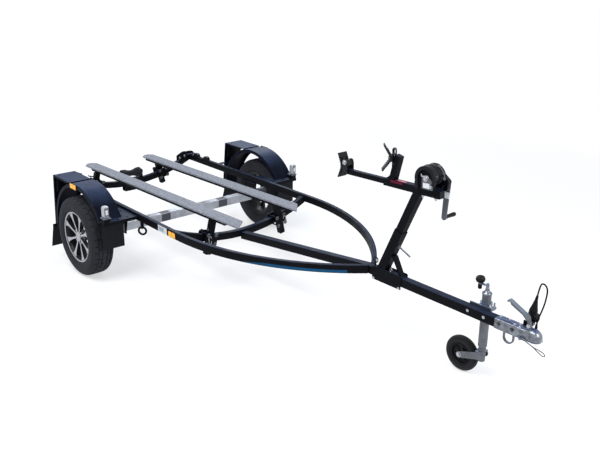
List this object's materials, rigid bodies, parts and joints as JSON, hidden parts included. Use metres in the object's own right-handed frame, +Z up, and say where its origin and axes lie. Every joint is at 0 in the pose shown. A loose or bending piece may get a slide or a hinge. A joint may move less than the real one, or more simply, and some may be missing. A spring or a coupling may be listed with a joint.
{
  "type": "watercraft trailer",
  "caption": "Single-axle road trailer for a small watercraft, with carpeted bunks, mudguards, winch mast, jockey wheel and ball coupling.",
  "frame": {"origin": "middle of the whole trailer's box, on the ground", "axes": "+X forward to the coupling, +Y to the left, +Z up"},
  "size_m": [4.0988, 1.755, 1.1724],
  "materials": {
    "left_side_rail": "satin",
    "right_side_rail": "satin",
    "crossmembers": "satin",
    "drawbar": "satin",
    "rail_end_plugs": "matte",
    "rear_corner_brackets": "satin",
    "tie_down_rings": "zinc plated",
    "axle_beam": "galvanised",
    "axle_hangers": "satin",
    "trailing_arms": "galvanised",
    "left_wheel_hub": "satin",
    "right_wheel_hub": "satin",
    "left_wheel_rim": "polished face",
    "right_wheel_rim": "polished face",
    "left_tyre": "matte",
    "right_tyre": "matte",
    "left_mudguard": "gloss",
    "right_mudguard": "gloss",
    "mudguard_brackets": "gloss",
    "mud_flaps": "matte",
    "front_lamps": "clear",
    "tail_lamps": "clear",
    "side_reflectors": "clear",
    "type_plate": "satin",
    "bunks": "carpet",
    "bunk_bars": "galvanised",
    "bunk_posts": "satin",
    "post_clamps": "zinc plated",
    "keel_roller": "matte",
    "roller_bracket": "satin",
    "mast_sleeve": "satin",
    "mast_tube": "satin",
    "winch_beam": "satin",
    "bow_arm": "satin",
    "rear_bow_pad": "matte",
    "top_bow_pad": "matte",
    "winch_frame": "satin",
    "winch_drum": "satin",
    "winch_covers": "gloss",
    "winch_crank": "satin",
    "crank_grip": "matte",
    "jockey_clamp": "galvanised",
    "jockey_outer_tube": "galvanised",
    "jockey_cap": "satin",
    "jockey_knob": "matte",
    "jockey_inner_tube": "galvanised",
    "jockey_fork": "galvanised",
    "jockey_tyre": "matte",
    "jockey_rim": "matte",
    "coupling_body": "galvanised",
    "coupling_handle": "galvanised",
    "safety_ring": "zinc plated",
    "plug_holder": "matte",
    "plug": "matte",
    "plug_cable": "matte",
    "breakaway_cable": "matte",
    "breakaway_hook": "galvanised"
  },
  "bodies": {
    "chassis": {"left_side_rail": "left_side_rail", "right_side_rail": "right_side_rail", "crossmembers": "crossmembers", "drawbar": "drawbar", "rail_end_plugs": "rail_end_plugs", "rear_corner_brackets": "rear_corner_brackets", "tie_down_rings": "tie_down_rings", "axle_beam": "axle_beam", "axle_hangers": "axle_hangers", "trailing_arms": "trailing_arms", "left_mudguard": "left_mudguard", "right_mudguard": "right_mudguard", "mudguard_brackets": "mudguard_brackets", "mud_flaps": "mud_flaps", "front_lamps": "front_lamps", "tail_lamps": "tail_lamps", "side_reflectors": "side_reflectors", "type_plate": "type_plate", "bunks": "bunks", "bunk_bars": "bunk_bars", "bunk_posts": "bunk_posts", "post_clamps": "post_clamps", "roller_bracket": "roller_bracket", "mast_sleeve": "mast_sleeve", "jockey_clamp": "jockey_clamp", "coupling_body": "coupling_body", "coupling_handle": "coupling_handle", "safety_ring": "safety_ring", "plug_holder": "plug_holder", "plug": "plug", "plug_cable": "plug_cable", "breakaway_cable": "breakaway_cable", "breakaway_hook": "breakaway_hook"},
    "left_wheel": {"left_tyre": "left_tyre", "left_wheel_rim": "left_wheel_rim", "left_wheel_hub": "left_wheel_hub"},
    "right_wheel": {"right_tyre": "right_tyre", "right_wheel_rim": "right_wheel_rim", "right_wheel_hub": "right_wheel_hub"},
    "keel_roller": {"keel_roller": "keel_roller"},
    "mast": {"mast_tube": "mast_tube", "winch_beam": "winch_beam", "top_bow_pad": "top_bow_pad", "winch_frame": "winch_frame", "winch_covers": "winch_covers"},
    "bow_arm": {"bow_arm": "bow_arm", "rear_bow_pad": "rear_bow_pad"},
    "winch_drum": {"winch_drum": "winch_drum"},
    "winch_crank": {"winch_crank": "winch_crank", "crank_grip": "crank_grip"},
    "jockey_tube": {"jockey_outer_tube": "jockey_outer_tube", "jockey_cap": "jockey_cap", "jockey_knob": "jockey_knob"},
    "jockey_leg": {"jockey_inner_tube": "jockey_inner_tube"},
    "jockey_fork": {"jockey_fork": "jockey_fork"},
    "jockey_wheel": {"jockey_tyre": "jockey_tyre", "jockey_rim": "jockey_rim"}
  },
  "joints": [
    {"name": "left_wheel_spin", "type": "hinge", "parent": "chassis", "child": "left_wheel", "pos_m": [-1.04478, 0.795, 0.28], "axis": [0, 1, 0], "continuous": true},
    {"name": "right_wheel_spin", "type": "hinge", "parent": "chassis", "child": "right_wheel", "pos_m": [-1.04478, -0.795, 0.28], "axis": [0, 1, 0], "continuous": true},
    {"name": "keel_roller_spin", "type": "hinge", "parent": "chassis", "child": "keel_roller", "pos_m": [-1.80168, 0, 0.42968], "axis": [0, 1, 0], "continuous": true},
    {"name": "mast_slide", "type": "slide", "parent": "chassis", "child": "mast", "axis": [0.4125, 0, 0.911], "range_m": [-0.08, 0.1]},
    {"name": "bow_arm_slide", "type": "slide", "parent": "mast", "child": "bow_arm", "axis": [0.9999, 0, 0.0129], "range_m": [-0.08, 0.08]},
    {"name": "drum_spin", "type": "hinge", "parent": "mast", "child": "winch_drum", "pos_m": [1.31807, 0, 1.0417], "axis": [0, 1, 0], "continuous": true},
    {"name": "crank_spin", "type": "hinge", "parent": "mast", "child": "winch_crank", "pos_m": [1.36967, 0.06, 0.99536], "axis": [0, 1, 0], "continuous": true},
    {"name": "jockey_tube_slide", "type": "slide", "parent": "chassis", "child": "jockey_tube", "axis": [0, 0, 1], "range_m": [-0.035, 0.09]},
    {"name": "jockey_leg_slide", "type": "slide", "parent": "jockey_tube", "child": "jockey_leg", "axis": [0, 0, 1], "range_m": [-0.15, 0]},
    {"name": "jockey_swivel", "type": "hinge", "parent": "jockey_leg", "child": "jockey_fork", "pos_m": [1.65822, 0.077, 0.164], "axis": [0, 0, 1], "continuous": true},
    {"name": "jockey_wheel_spin", "type": "hinge", "parent": "jockey_fork", "child": "jockey_wheel", "pos_m": [1.53722, 0.077, 0.1], "axis": [0, 1, 0], "continuous": true}
  ],
  "couplings": [
    {"joint": "crank_spin", "follows": "drum_spin", "ratio": -4.1}
  ]
}
